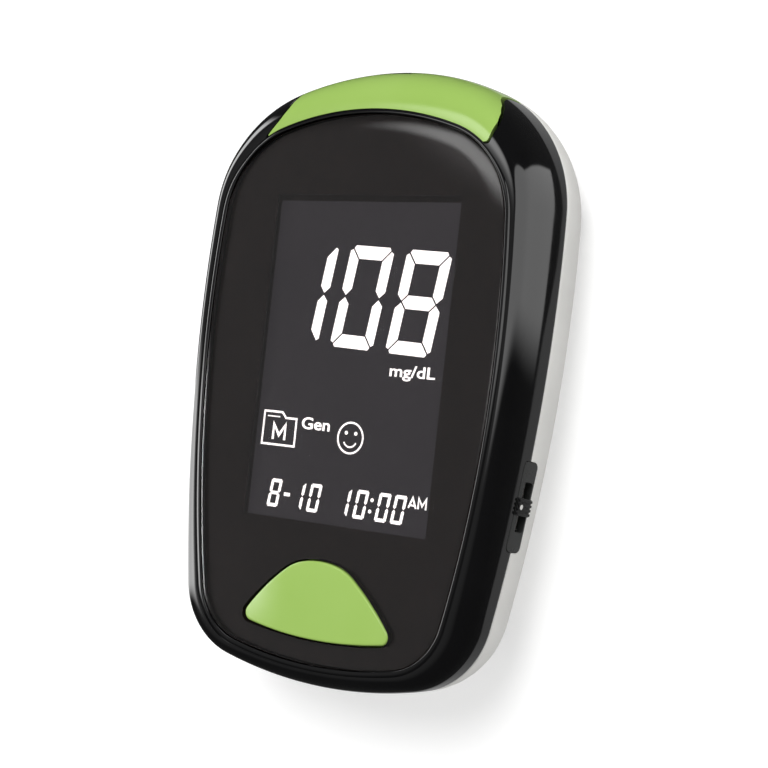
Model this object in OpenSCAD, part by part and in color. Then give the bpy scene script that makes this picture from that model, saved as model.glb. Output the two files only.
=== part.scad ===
// Pocket blood glucose meter with two AAA cells, lying on its back.
// +Z comes out of the display, +Y points to the end that takes the test strip,
// +X is to the right of somebody reading the display.
// The origin is on the flat back, in the middle of the body's width and length.

/* [Body] */
// Length of the body from end to end
body_len = 96; // [95:0.5:98]
// Thickness from the flat back to the crown of the button
body_thick = 24; // [24:0.1:24.6]
// Height of the parting line above the back, at mid length
parting_z = 14.4; // [14:0.1:14.8]
// Fall of the parting line towards the strip end, per unit of length
parting_slope = 0.077; // [0.06:0.001:0.085]
// Wall of the rear cover
wall = 1.6; // [1.5:0.1:1.7]
// Radius of the arched strip end
top_r = 45.5; // [44:0.5:48]
// Radius of the corners at the strip end
top_corner_r = 22; // [21:0.5:23]
// Distance of those corners' centres from the middle
top_corner_x = 8; // [7.5:0.1:8.5]
// Radius of the long sides
side_r = 285; // [270:5:300]
// Radius of the corners at the lower end
bottom_corner_r = 12.8; // [12:0.1:13.4]
// Distance of those corners' centres from the middle
bottom_corner_x = 14.6; // [14.2:0.1:15]
// Radius of the lower end
bottom_r = 74; // [68:1:80]

/* [Lens] */
// Distance from the strip end to the lens
lens_top_margin = 8.3; // [8:0.1:8.6]
// Distance from the lower end to the lens
lens_bottom_margin = 3.4; // [3.2:0.1:3.7]
// Radius of the lens at its upper edge
lens_top_r = 51; // [48:0.5:54]
// Radius of its upper corners
lens_top_corner_r = 15; // [14.6:0.1:15.4]
// Distance of those corners' centres from the middle
lens_top_corner_x = 11.3; // [11:0.1:11.6]
// Radius of its long sides
lens_side_r = 198; // [190:1:210]
// Radius of its lower corners
lens_bottom_corner_r = 10; // [9.6:0.1:10.4]
// Distance of those corners' centres from the middle
lens_bottom_corner_x = 12.9; // [12.6:0.1:13.2]
// Radius of the lens at its lower edge
lens_bottom_r = 73; // [68:1:78]
// Width of the visible display
display_w = 33.6; // [32:0.1:34]
// Height of the visible display
display_h = 50; // [49:0.1:50.4]
// Place of the display's middle along the body
display_y = 1.8; // [1.6:0.1:2.1]

/* [Controls] */
// Travel of the main button
button_travel = 0.5; // [0.3:0.1:0.5]
// Travel of the set button in the battery bay
set_travel = 0.3; // [0.2:0.05:0.35]
// Place of the side switch along the body
side_switch_y = -17.1; // [-17.5:0.1:-16.5]

/* [Battery] */
// Diameter of one AAA cell
cell_d = 10.5; // [10:0.1:10.5]
// Length of one AAA cell with its nub
cell_len = 44.5; // [44:0.1:44.5]
// Thickness of the battery door
door_t = 1.5; // [1.3:0.1:1.5]

/* [Hidden] */
$fn = 48;
e = 0.5;             // overrun of a cutting solid
clear = 0.15;        // gap between neighbours that don't move

// Levels, from the lip of the front shell down to the back
lip_z = body_thick - 0.2;
lens_top = lip_z - 0.45;
lens_t = 1.2;
lens_under = lens_top - lens_t;
tape_t = 0.2;
deck_top = lens_under - tape_t;
deck_t = 1;
deck_under = deck_top - deck_t;
gasket_t = 0.2;
glass_top = deck_under - gasket_t;
glass_t = 0.85;
pcb_t = 1;
pcb_top = deck_under - 4.7;
pcb_under = pcb_top - pcb_t;
cell_z = door_t + 0.5 + cell_d / 2;
bay_roof = cell_z + cell_d / 2 + 0.3;
bay_roof_t = 1.1;

// Outlines: end and corner arcs that meet on a tangent, as
// [upper y, upper r, corner x, corner r, side r, corner x, corner r, lower r, lower y]
body_o = [body_len / 2, top_r, top_corner_x, top_corner_r, side_r,
          bottom_corner_x, bottom_corner_r, bottom_r, -body_len / 2];
lens_o = [body_len / 2 - lens_top_margin, lens_top_r, lens_top_corner_x,
          lens_top_corner_r, lens_side_r, lens_bottom_corner_x,
          lens_bottom_corner_r, lens_bottom_r, lens_bottom_margin - body_len / 2];
flat_o = [38, 40, 9, 11, 150, 2.5, 4.5, 30, -32];
button_o = [-28.9, 14, 1.5, 8, 40, 12.4, 1.3, 75, -41.2];
top_n = 5;
corner_n = 8;
side_n = 9;

function arc(c, r, a, b, n) =
    [for (i = [0:n - 1]) c + r * [cos(a + (b - a) * i / n), sin(a + (b - a) * i / n)]];
function aim(p, q) = atan2(q[1] - p[1], q[0] - p[0]);
// The point at distance rp from p and rq from q, on their left
function meet(p, rp, q, rq) =
    let (d = q - p, l = norm(d), a = (rp * rp - rq * rq + l * l) / (2 * l))
    p + a * d / l + sqrt(rp * rp - a * a) * [d[1], -d[0]] / l;
function upper_corner(o) =
    [o[2], o[0] - o[1] + sqrt(pow(o[1] - o[3], 2) - o[2] * o[2])];
function lower_corner(o) =
    [o[5], o[8] + o[7] - sqrt(pow(o[7] - o[6], 2) - o[5] * o[5])];
function side_centre(o) =
    meet(upper_corner(o), o[4] - o[3], lower_corner(o), o[4] - o[6]);
// Half width of an outline at height y on its long side
function side_x(o, y) =
    let (c = side_centre(o)) c[0] + sqrt(o[4] * o[4] - pow(y - c[1], 2));
function half_outline(o, grow) =
    let (
        upper_c = [0, o[0] - o[1]],
        lower_c = [0, o[8] + o[7]],
        corner_a = upper_corner(o),
        corner_b = lower_corner(o),
        side_c = side_centre(o),
        a1 = aim(upper_c, corner_a),
        a2 = aim(side_c, corner_a),
        a3 = aim(side_c, corner_b),
        a4 = aim(lower_c, corner_b)
    )
    concat(
        arc(upper_c, o[1] + grow, 90, a1, top_n),
        arc(corner_a, o[3] + grow, a1, a2, corner_n),
        arc(side_c, o[4] + grow, a2, a3, side_n),
        arc(corner_b, o[6] + grow, a3, a4, corner_n),
        arc(lower_c, o[7] + grow, a4, -90, top_n),
        [[0, o[8] - grow]]
    );
// The closed outline, clockwise from the middle of its upper edge
function outline(o, grow = 0) =
    let (h = half_outline(o, grow))
    concat(h, [for (i = [len(h) - 2:-1:1]) [-h[i][0], h[i][1]]]);
function between(p, q, t) = [for (i = [0:len(p) - 1]) p[i] + (q[i] - p[i]) * t];
function parting(y) = parting_z - parting_slope * y;
function around(c, half) = [c - half, c + half];

// A solid through closed rings of equal count, the highest ring first
module loft(rings) {
    n = len(rings[0]);
    last = (len(rings) - 1) * n;
    sides = [
        for (k = [0:len(rings) - 2], i = [0:n - 1])
            let (a = k * n + i, b = k * n + (i + 1) % n)
            each [[a, a + n, b + n], [a, b + n, b]]
    ];
    polyhedron(
        [for (r = rings) each r],
        concat(sides, [[for (i = [0:n - 1]) i], [for (i = [n - 1:-1:0]) last + i]])
    );
}
module plan(o, grow, z, h) {
    translate([0, 0, z]) linear_extrude(h) polygon(outline(o, grow));
}
module block(x, y, z) {
    translate([x[0], y[0], z[0]]) cube([x[1] - x[0], y[1] - y[0], z[1] - z[0]]);
}
module rod(d, z, h, at = [0, 0]) {
    translate([at[0], at[1], z]) cylinder(d = d, h = h);
}
module rounded(w, h, r, z, t) {
    translate([0, 0, z]) linear_extrude(t) {
        square([w - 2 * r, h], center = true);
        square([w, h - 2 * r], center = true);
        for (x = [-1, 1], y = [-1, 1]) translate([x * (w / 2 - r), y * (h / 2 - r)]) circle(r);
    }
}

// Front shell: a lip round the lens, from which the case falls in a quarter of a
// superellipse to its shoulder, then straight down to the parting line
lip_w = 0.9;
shoulder = 1.8;
parting_bevel = 0.3;
side_power = 3.5;
end_power = 2.2;
front_steps = 7;
function front_ring(inset, a) =
    let (
        inner = outline(lens_o, lip_w - inset),
        outer = outline(body_o, -inset),
        half_w = side_x(body_o, 0)
    )
    [for (i = [0:len(outer) - 1]) let (
        share = pow(outer[i][0] / half_w, 2),
        power = 2 / (end_power + (side_power - end_power) * min(1, share)),
        p = inner[i] + (outer[i] - inner[i]) * pow(sin(a), power),
        low = parting(outer[i][1]) + shoulder
    ) [p[0], p[1], low + (lip_z - inset - low) * pow(cos(a), power)]];
function front_rings(inset, drop = 0) = concat(
    [for (k = [0:front_steps]) front_ring(inset, 90 * k / front_steps)],
    [[for (p = outline(body_o, -inset)) [p[0], p[1], parting(p[1]) + parting_bevel]]],
    [[for (p = outline(body_o, -inset - parting_bevel)) [p[0], p[1], parting(p[1]) - drop]]]
);
cavity = between(outline(lens_o), outline(body_o), 0.5);

// Rear cover: from the parting line it falls in a quarter ellipse to the flat back
rear_steps = 7;
rear_power = 2 / 2.1;
function rear_ring(inset, a) =
    let (inner = outline(flat_o, -inset / 2), outer = outline(body_o, -inset))
    [for (i = [0:len(outer) - 1]) let (
        p = inner[i] + (outer[i] - inner[i]) * pow(cos(a), rear_power),
        high = parting(outer[i][1]) - parting_bevel
    ) [p[0], p[1], high + (inset - high) * pow(sin(a), rear_power)]];
function rear_rings(inset, rise = 0) = concat(
    [[for (p = outline(body_o, -inset - (rise > 0 ? 0 : parting_bevel)))
        [p[0], p[1], parting(p[1]) + rise]]],
    [for (k = [0:rear_steps]) rear_ring(inset, 90 * k / rear_steps)]
);

// Fascia: the coloured piece over the strip end
fascia_t = 1.2;
fascia_y = 35.8;
fascia_x = 21.3;
fascia_lean = 0.34;
module fascia_prism(gap) {
    reach = body_len / 2 + 2 - fascia_y;
    difference() {
        translate([0, 0, parting(body_len / 2) - 4]) linear_extrude(20) polygon([
            [-fascia_x - gap, fascia_y - gap], [fascia_x + gap, fascia_y - gap],
            [fascia_x - fascia_lean * reach + gap, fascia_y + reach],
            [-fascia_x + fascia_lean * reach - gap, fascia_y + reach]
        ]);
        plan(lens_o, lip_w + 0.1 - gap, 0, body_thick + 1);
    }
}

// Strip slot through the end wall, with a wider mouth in the fascia
strip_w = 7;
strip_z = pcb_top + 2;
slot_h = 1.3;
module strip_slot() {
    block([-strip_w / 2, strip_w / 2], [42, body_len / 2 + 1],
          [strip_z - slot_h / 2, strip_z + slot_h / 2]);
    translate([0, body_len / 2 - 1.1, strip_z]) rotate([-90, 0, 0]) linear_extrude(2)
        square([strip_w + 2.2, slot_h + 1.1], center = true);
}

// Posts for the four case screws and the four board screws
case_posts = [[23.6, 27], [-23.6, 27], [20, -37], [-20, -37]];
board_posts = [[11.6, 35.7], [-11.6, 35.7], [19, -29.6], [-19, -29.6]];
case_post_d = 5;
board_post_d = 4.2;
case_split = 11.5;
case_thread_d = 2;
board_thread_d = 1.6;
screw_well_d = 4.2;
head_seat = 8;

// Frame of the side switch: local +X leaves the wall, local +Y runs along it
side_turn = aim(side_centre(body_o), [side_x(body_o, side_switch_y), side_switch_y]);
plate_l = 13.4;
plate_w = 3.8;
plate_t = 1.2;
plate_drop = 0.1;    // from the parting line down to the middle of the plate
slot_drop = 0.4;     // from there down to the slot of the knob
slot_l = 7.4;
slot_w = 2.4;
knob_l = 2.6;
knob_w = 3.6;
knob_travel = 2.2;
module at_side() {
    translate([side_x(body_o, side_switch_y), side_switch_y, parting(side_switch_y) - plate_drop])
        rotate([-atan(parting_slope), 0, side_turn]) children();
}
module plate_solid(grow, deep) {
    rotate([90, 0, 90]) rounded(plate_l + 2 * grow, plate_w + 2 * grow, 0.9, -plate_t - deep,
                                plate_t + deep + grow);
}
module side_slot(reach) {
    at_side() translate([0, 0, -slot_drop]) rotate([90, 0, 90])
        rounded(slot_l, slot_w, 0.5, -reach, reach + 1);
}

// Battery bay and the well of the set button, both behind the door
cell_x = cell_d / 2 + 0.1;
bay_x = 11.2;
bay_y = [-13.6, 36.2];
bay_wall = 1.2;
well_x = 5;
well_y = [-20, bay_y[0] - bay_wall];
well_roof = 9;
door_x = 12.6;
door_y = [-20.2, 37.9];
door_axis = door_t / 2;   // inset of the turning axis from the lower edge and the face
door_seat = [door_x + clear, door_y[0] - clear, door_y[1] + clear];
hook_x = 8;
hook_w = 3;
set_y = -17.4;
contact_t = 0.4;

module front_shell() {
    color("#17181a") difference() {
        union() {
            difference() {
                loft(front_rings(0));
                translate([0, 0, -1]) linear_extrude(deck_under + 1) polygon(cavity);
            }
            for (p = case_posts) rod(case_post_d, case_split, deck_under + e - case_split, p);
            for (p = board_posts) rod(board_post_d, pcb_top, deck_under + e - pcb_top, p);
        }
        plan(lens_o, clear, deck_top, 5);
        block([-display_w / 2 - 1, display_w / 2 + 1],
              [display_y - display_h / 2 - 1, display_y + display_h / 2 + 1],
              [deck_under - e, deck_top + e]);
        plan(button_o, 0.35, deck_under - e, 5);
        difference() {
            fascia_prism(0.05);
            loft(front_rings(fascia_t + 0.05, 6));
        }
        strip_slot();
        for (p = case_posts) rod(case_thread_d, case_split - 1, 8, p);
        for (p = board_posts) rod(board_thread_d, pcb_top - 1, 5, p);
        at_side() plate_solid(0.1, 0.2);
        side_slot(4);
    }
}

module top_fascia() {
    color("#a5d160") difference() {
        intersection() {
            fascia_prism(0);
            loft(front_rings(0));
        }
        loft(front_rings(fascia_t, 6));
        strip_slot();
    }
}

// The lens is a plate whose face swells towards its middle in a few rings
lens_crown = 0.3;
lens_mid = (lens_o[0] + lens_o[8]) / 2;
function lens_ring(share, z) = [for (p = outline(lens_o, -clear))
    [p[0] * share, lens_mid + (p[1] - lens_mid) * share, z]];
module display_lens() {
    color("#26272b") difference() {
        loft(concat(
            [for (s = [0.25, 0.5, 0.7, 0.85, 0.95, 1]) lens_ring(s, lens_top + lens_crown * (1 - s * s))],
            [lens_ring(1, lens_under)]
        ));
        plan(button_o, 0.25, lens_under - e, 5);
    }
}

module lens_tape() {
    color("#101010") difference() {
        plan(lens_o, -0.5, deck_top, tape_t);
        plan(lens_o, -2.3, deck_top - e, tape_t + 2 * e);
    }
}

// Main button with its flange under the deck and its post on the switch
button_at = [0, -35];
flange_t = 0.9;
flange_top = deck_under - 0.1;
post_end = pcb_top + 2.4;
button_curve = 170;
module main_button() {
    color("#a5d160") {
        intersection() {
            plan(button_o, 0, flange_top - flange_t, 10);
            translate([0, button_at[1], body_thick - button_curve]) sphere(button_curve, $fn = 180);
        }
        plan(button_o, 0.9, flange_top - flange_t, flange_t);
        rod(4, post_end, flange_top - post_end, button_at);
    }
}

plunger_d = 3;
plunger_end = post_end - 1;
module switch_plunger() {
    color("#222222") rod(plunger_d, plunger_end, post_end - plunger_end, button_at);
}

module main_switch() {
    switch_w = 6;
    switch_h = 1.8;
    color("#8f9296") difference() {
        translate([button_at[0], button_at[1], pcb_top + switch_h / 2])
            cube([switch_w, switch_w, switch_h], center = true);
        rod(plunger_d + 0.3, plunger_end - button_travel - 0.05, 3, button_at);
    }
}

// Display stack: two glass plates, their frame, the light panel and its lamps
glass_x = 18.8;
glass_y = [-25.2, 31.8];
ledge_y = 28.6;
frame_wall = 1.3;
module frame_box(grow, z) {
    block([-glass_x - grow, glass_x + grow], [glass_y[0] - grow, glass_y[1] + grow], z);
}
module lcd_gasket() {
    color("#1c1c1c") difference() {
        frame_box(0, [glass_top, deck_under]);
        block([-display_w / 2 - 0.8, display_w / 2 + 0.8],
              [display_y - display_h / 2 - 0.8, display_y + display_h / 2 + 0.8],
              [glass_top - e, deck_under + e]);
    }
}
module lcd_glass() {
    color("#2d2a31") {
        frame_box(0, [glass_top - glass_t, glass_top]);
        block([-glass_x, glass_x], [glass_y[0], ledge_y], [glass_top - 2 * glass_t, glass_top - glass_t]);
    }
}
panel_z = [pcb_top + 0.9, glass_top - 2 * glass_t - 0.1];
module lcd_frame() {
    color("#e4e5e3") difference() {
        frame_box(frame_wall, [pcb_top, glass_top - 0.1]);
        frame_box(0.1, [pcb_top + 0.8, glass_top + e]);
        block([-glass_x + 1, glass_x - 1], [ledge_y - 0.6, glass_y[1] - 0.4], [pcb_top - e, pcb_top + 2]);
    }
}
module backlight_panel() {
    color("#f4f6f4") block([-glass_x + 0.6, glass_x - 0.6], [glass_y[0] + 0.6, ledge_y - 3], panel_z);
}
module backlight_leds() {
    color("#fbf7d8") for (x = [-9, 0, 9])
        block([x - 1.4, x + 1.4], [ledge_y - 2.8, ledge_y - 1.6], [panel_z[0], panel_z[0] + 1]);
}
module elastomer_connector() {
    color("#5a5550") block([-glass_x + 1.4, glass_x - 1.4], [ledge_y + 0.3, ledge_y + 2.3],
                           [pcb_top, glass_top - glass_t]);
}

module main_pcb() {
    color("#1f5a34") difference() {
        plan(lens_o, 0, pcb_under, pcb_t);
        for (p = case_posts) rod(case_post_d + 0.4, pcb_under - e, pcb_t + 2 * e, p);
        for (p = board_posts) rod(board_thread_d + 0.4, pcb_under - e, pcb_t + 2 * e, p);
    }
}

// A chip under the board, with its legs along two sides
module chip(at, w, l, t, legs) {
    block([at[0] - w / 2, at[0] + w / 2], [at[1] - l / 2, at[1] + l / 2], [pcb_under - t, pcb_under - 0.1]);
    pitch = l / legs;
    for (side = [-1, 1], k = [0:legs - 1])
        translate([at[0] + side * (w / 2 + 0.35), at[1] - l / 2 + (k + 0.5) * pitch, pcb_under - 0.25])
            cube([0.9, pitch * 0.45, 0.5], center = true);
}
module processor_chip() { color("#1d1e20") chip([18.6, 12], 7, 9, 1.2, 8); }
module amplifier_chip() { color("#1d1e20") chip([-18.4, 20], 4, 5, 1.1, 4); }
module memory_chip() { color("#1d1e20") chip([-18.4, 11], 4, 5, 1.1, 4); }
module crystal() {
    color("#c3c5c7") translate([-18.4, 3, pcb_under - 0.9]) rotate([90, 0, 0])
        cylinder(d = 1.8, h = 6, center = true);
}
module chip_parts() {
    color("#b49a72") for (k = [0:5], side = [-1, 1])
        translate([side * 15.2, -20 + 2.4 * k, pcb_under - 0.3]) cube([1.6, 0.8, 0.6], center = true);
}
buzzer_at = [18.8, 0];
module buzzer() {
    color("#2a2b2d") difference() {
        rod(9, pcb_under - 3, 3, buzzer_at);
        rod(1.6, pcb_under - 3 - e, 1.5 + e, buzzer_at);
    }
}

// Strip connector on the board, its mouth at the slot, with five sprung contacts
socket_x = 6.4;
socket_y = [33.3, 43];
socket_h = 3.4;
throat_y = 35;
module strip_connector() {
    color("#e9e6dc") difference() {
        block([-socket_x, socket_x], socket_y, [pcb_top, pcb_top + socket_h]);
        block([-strip_w / 2, strip_w / 2], [throat_y, socket_y[1] + e],
              [strip_z - slot_h / 2, strip_z + slot_h / 2]);
        block([-3.2, 3.2], [throat_y, 41.5], [pcb_top + 0.4, strip_z]);
    }
}
module strip_contacts() {
    low = pcb_top + 0.4;
    t = 0.2;
    color("#d9b25c") for (k = [-2:2]) translate([1.2 * k + 0.25, 0, 0]) rotate([0, -90, 0])
        linear_extrude(0.5) polygon([
            [low, throat_y + 0.2], [low, 41.2], [low + t, 41.2], [low + t, 37.6],
            [strip_z - 0.3, 39.6], [strip_z - 0.1, 39.4], [low + t, throat_y + 0.9], [low + t, throat_y + 0.2]
        ]);
}

module side_plate() {
    color("#3a3b3a") difference() {
        at_side() plate_solid(0, 0);
        side_slot(4);
    }
}
// The knob's ribbed head rides over the plate, its tab reaches into the switch
knob_t = 0.4;
knob_lift = 0.08;
tab_drop = 0.65;      // from the slot down to the middle of the tab
module slide_knob() {
    ribs = 4;
    pitch = knob_l / ribs;
    color("#141415") at_side() {
        translate([knob_lift, -knob_l / 2, -knob_w / 2]) cube([knob_t / 2, knob_l, knob_w]);
        for (k = [0:ribs - 1])
            translate([knob_lift, (k + 0.2) * pitch - knob_l / 2, -knob_w / 2]) cube([knob_t, 0.6 * pitch, knob_w]);
        translate([-plate_t - 0.6, -1, -slot_drop - 0.7]) cube([plate_t + 0.7, 2, 1.4]);
        translate([-5.6, -0.6, -slot_drop - tab_drop - 0.35]) cube([4.5, 1.2, 0.7]);
    }
}
module slide_switch() {
    deep = side_x(body_o, side_switch_y) - 7.2;
    mid = parting(side_switch_y) - plate_drop - slot_drop - tab_drop;
    color("#7d8084") difference() {
        block([deep - 1.5, deep + 2.9], around(side_switch_y, 4.4), [pcb_under - 3.2, pcb_under]);
        block([deep + 1, deep + 3.2], around(side_switch_y, 3.4), [mid - 1, mid + 1]);
    }
}

module rear_cover() {
    roof = bay_roof + bay_roof_t;
    color("#f2f3f2") difference() {
        union() {
            difference() {
                loft(rear_rings(0));
                loft(rear_rings(wall, 2));
            }
            intersection() {
                loft(rear_rings(0, 6));
                union() {
                    block([-bay_x - bay_wall, bay_x + bay_wall],
                          [bay_y[0] - bay_wall, bay_y[1] + bay_wall], [0, roof]);
                    block([-well_x - bay_wall, well_x + bay_wall],
                          [well_y[0] - bay_wall, well_y[1]], [0, well_roof + bay_wall]);
                    block([-door_x - 1.2, door_x + 1.2], [door_y[0] - 1.4, door_y[1] + 1.2], [0, door_t + 1.2]);
                    for (p = case_posts) rod(case_post_d, 0, case_split - 0.1, p);
                }
            }
        }
        block([-door_seat[0], door_seat[0]], [door_seat[1], door_seat[2]], [-1, door_t + 0.05]);
        block([-bay_x, bay_x], bay_y, [door_t, bay_roof]);
        block([-well_x, well_x], well_y, [door_t, well_roof]);
        for (side = [-1, 1])
            block(around(side * hook_x, hook_w / 2 + 0.3), [door_y[0] - 2.6, door_y[0] + 3],
                  [door_t, door_t + 3.4]);
        rod(3.6, well_roof - e, bay_wall + 2 * e, [0, set_y]);
        for (x = [-cell_x, cell_x])
            block([x - 1.3, x + 1.3], [bay_y[1] - contact_t - 0.2, bay_y[1] + 0.1], [bay_roof - e, roof + e]);
        for (p = case_posts) {
            rod(case_thread_d + 0.3, 0, case_split + 1, p);
            rod(screw_well_d, -1, head_seat + 1, p);
        }
        at_side() plate_solid(0.1, 0.2);
        side_slot(4);
        block([-6.6, 6.6], [-30.3, -22.5], [-1, 0.15]);
    }
}

// The door's lower edge is round about the axis on which the door tips out
module battery_door() {
    color("#f2f3f2") difference() {
        union() {
            translate([0, (door_y[0] + door_axis + door_y[1]) / 2, 0])
                rounded(2 * door_x, door_y[1] - door_y[0] - door_axis, 1.2, 0, door_t);
            block([-door_x, door_x], [door_y[0] + door_axis, door_y[0] + 4], [0, door_t]);
            translate([-door_x, door_y[0] + door_axis, door_axis]) rotate([0, 90, 0])
                cylinder(d = door_t, h = 2 * door_x);
            for (side = [-1, 1]) {
                block(around(side * hook_x, hook_w / 2), [door_y[0] - 1.3, door_y[0] + 1.3],
                      [door_t + 0.1, door_t + 0.9]);
                block(around(side * hook_x, hook_w / 2), [door_y[0] + 0.3, door_y[0] + 1.3],
                      [door_t - 0.3, door_t + 0.2]);
            }
        }
        for (k = [0:4]) block([-5, 5], [31 + 1.3 * k, 31.6 + 1.3 * k], [-1, 0.35]);
    }
}

// One cell along Y: its nub points up the body when way is 1, down it when -1
module cell(x, way) {
    tip = way > 0 ? bay_y[1] - contact_t : bay_y[0] + contact_t;
    nub_l = 1;
    translate([x, tip, cell_z]) rotate([way > 0 ? 90 : -90, 0, 0]) {
        cylinder(d = 3.8, h = nub_l + 0.2);
        translate([0, 0, nub_l]) cylinder(d = cell_d, h = cell_len - nub_l);
    }
}
module left_battery() { color("#b9bcc0") cell(-cell_x, 1); }
module right_battery() { color("#b9bcc0") cell(cell_x, -1); }

// Coil spring along +Y, with straight ends, as one tube of six sides
wire_d = 0.5;
coil_turns = 3.5;
coil_rings = 8;
coil_r = [3.2, 2.2];
coil_len = bay_y[1] - bay_y[0] - 2 * contact_t - cell_len;
function coil_at(t) =
    let (r = coil_r[0] + (coil_r[1] - coil_r[0]) * t, a = 360 * coil_turns * t)
    [r * cos(a), wire_d + (coil_len - 2 * wire_d) * t, r * sin(a)];
coil_path = concat(
    [[coil_r[0], 0, 0]],
    [for (k = [0:coil_turns * coil_rings]) coil_at(k / (coil_turns * coil_rings))],
    [coil_at(1) + [0, wire_d, 0]]
);
function unit(v) = v / norm(v);
function tube_ring(path, i) =
    let (
        n = len(path) - 1,
        t = i == 0 || i == n ? [0, 1, 0] : unit(path[i + 1] - path[i - 1]),
        out = unit(cross(t, cross([path[i][0], 0, path[i][2]], t))),
        up = cross(t, out)
    )
    [for (s = [0:5]) path[i] + wire_d / 2 * (cos(60 * s) * out + sin(60 * s) * up)];
coil_gap = min([for (k = [1:(coil_turns - 1) * coil_rings])
    norm(coil_path[k + coil_rings] - coil_path[k])]) - wire_d;
echo("least gap between the turns of a contact spring", coil_gap);
module coil(x, y, way) {
    translate([x, y, cell_z]) rotate([0, 0, way > 0 ? 0 : 180])
        loft([for (i = [0:len(coil_path) - 1]) tube_ring(coil_path, i)]);
}
module contact_plate(x, y) {
    block([x[0], x[1]], [y, y + contact_t], [cell_z - 4, cell_z + 4]);
}
module contact_leg(x) {
    y = bay_y[1] - contact_t;
    block([x - 1, x + 1], [y, y + contact_t], [cell_z, pcb_under]);
}
module positive_contact() {
    color("#cfd2d4") {
        contact_plate([-cell_x - 4, -cell_x + 4], bay_y[1] - contact_t);
        contact_leg(-cell_x);
    }
}
module negative_contact() {
    color("#cfd2d4") {
        contact_plate([cell_x - 4, cell_x + 4], bay_y[1] - contact_t);
        contact_leg(cell_x);
        coil(cell_x, bay_y[1] - contact_t, -1);
    }
}
module bridge_contact() {
    color("#cfd2d4") {
        contact_plate([-cell_x - 4, cell_x + 4], bay_y[0]);
        coil(-cell_x, bay_y[0] + contact_t, 1);
    }
}

set_end = well_roof - 0.8;
stem_top = pcb_under - 1.4;
module set_button() {
    color("#3c3d40") {
        rod(3.2, set_end, stem_top - 1 - set_end, [0, set_y]);
        rod(5, well_roof + bay_wall + 0.05, 0.8, [0, set_y]);
        rod(1.8, stem_top - 1.2, 1.4, [0, set_y]);
    }
}
module set_switch() {
    color("#8f9296") difference() {
        translate([0, set_y, pcb_under - 0.8]) cube([4.5, 4.5, 1.6], center = true);
        rod(2.3, pcb_under - 3, 3 - 1.2 + set_travel + 0.15, [0, set_y]);
    }
}

// A pan-head screw that points up, with a cross in its head
module screw(at, head_z, d, head_d, head_h, length) {
    difference() {
        union() {
            rod(head_d, head_z - head_h, head_h, at);
            rod(d, head_z - 0.1, length + 0.1, at);
        }
        for (turn = [0, 90]) translate([at[0], at[1], head_z - head_h]) rotate(turn)
            cube([head_d * 0.6, 0.45, head_h], center = true);
    }
}
module case_screws() {
    color("#6d7175") for (p = case_posts) screw(p, head_seat, case_thread_d - 0.1, 3.6, 1.4, 8.5);
}
module pcb_screws() {
    color("#9da1a5") for (p = board_posts) screw(p, pcb_under, board_thread_d - 0.1, 3, 0.9, 4);
}

module rating_label() {
    color("#d9dbdc") translate([0, -26.4, 0]) rounded(13, 7.6, 0.8, 0.05, 0.1);
}

front_shell();
top_fascia();
display_lens();
lens_tape();
main_button();
switch_plunger();
main_switch();
lcd_gasket();
lcd_glass();
lcd_frame();
backlight_panel();
backlight_leds();
elastomer_connector();
main_pcb();
processor_chip();
amplifier_chip();
memory_chip();
crystal();
chip_parts();
buzzer();
strip_connector();
strip_contacts();
side_plate();
slide_knob();
slide_switch();
rear_cover();
battery_door();
left_battery();
right_battery();
positive_contact();
negative_contact();
bridge_contact();
set_button();
set_switch();
case_screws();
pcb_screws();
rating_label();
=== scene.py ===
import math

import bmesh
import bpy
import numpy as np
from mathutils import Matrix, Vector


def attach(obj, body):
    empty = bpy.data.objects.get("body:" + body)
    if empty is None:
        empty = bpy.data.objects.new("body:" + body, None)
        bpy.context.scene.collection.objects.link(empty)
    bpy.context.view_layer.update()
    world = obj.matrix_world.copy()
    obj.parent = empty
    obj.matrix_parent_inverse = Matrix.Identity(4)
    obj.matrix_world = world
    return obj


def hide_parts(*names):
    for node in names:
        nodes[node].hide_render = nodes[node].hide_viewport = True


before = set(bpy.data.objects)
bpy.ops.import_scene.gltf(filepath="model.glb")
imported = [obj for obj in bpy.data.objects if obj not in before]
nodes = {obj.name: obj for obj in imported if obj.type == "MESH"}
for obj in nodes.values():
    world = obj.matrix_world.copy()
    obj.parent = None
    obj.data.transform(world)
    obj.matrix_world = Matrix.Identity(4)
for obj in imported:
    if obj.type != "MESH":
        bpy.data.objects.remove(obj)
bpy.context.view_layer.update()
mm = 0.001
print("frame loaded")


# ---- shapes shared by the pieces, all in millimetres

case = {
    "outline": [48, 45.5, 8, 22, 285, 14.6, 12.8, 74, -48],
    "flat": [38, 40, 9, 11, 150, 2.5, 4.5, 30, -32],
    "lipZ": 23.8,
    "partingZ": 14.4,
    "partingSlope": 0.077,
    "bevel": 0.3,
    "shoulder": 1.8,
    "sidePower": 3.5,
    "endPower": 2.2,
    "columns": 420,
    "posts": [(23.6, 27), (-23.6, 27), (20, -37), (-20, -37)],
}
lens = {
    "outline": [39.7, 51, 11.3, 15, 198, 12.9, 10, 73, -44.6],
    "gap": 0.08,
    "underZ": 22.21,
    "topZ": 23.76,
    "crown": 0.04,
    "roll": 2.6,         # at the upper end the last mm before its edge roll down
    "rollDrop": 0.3,
    "rollPlaces": (13, 7),    # places along the outline where it starts and where it is full
    "edgeRadius": 0.1,
    "buttonGap": 0.25,
    "inkedBelow": 0.972,      # faces whose normal rises less than this are inked
}
lensInk = {"inset": 0.3, "z": (22.2, 22.16), "window": ((-16.6, 18.2), (-23.7, 27.3))}
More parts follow.
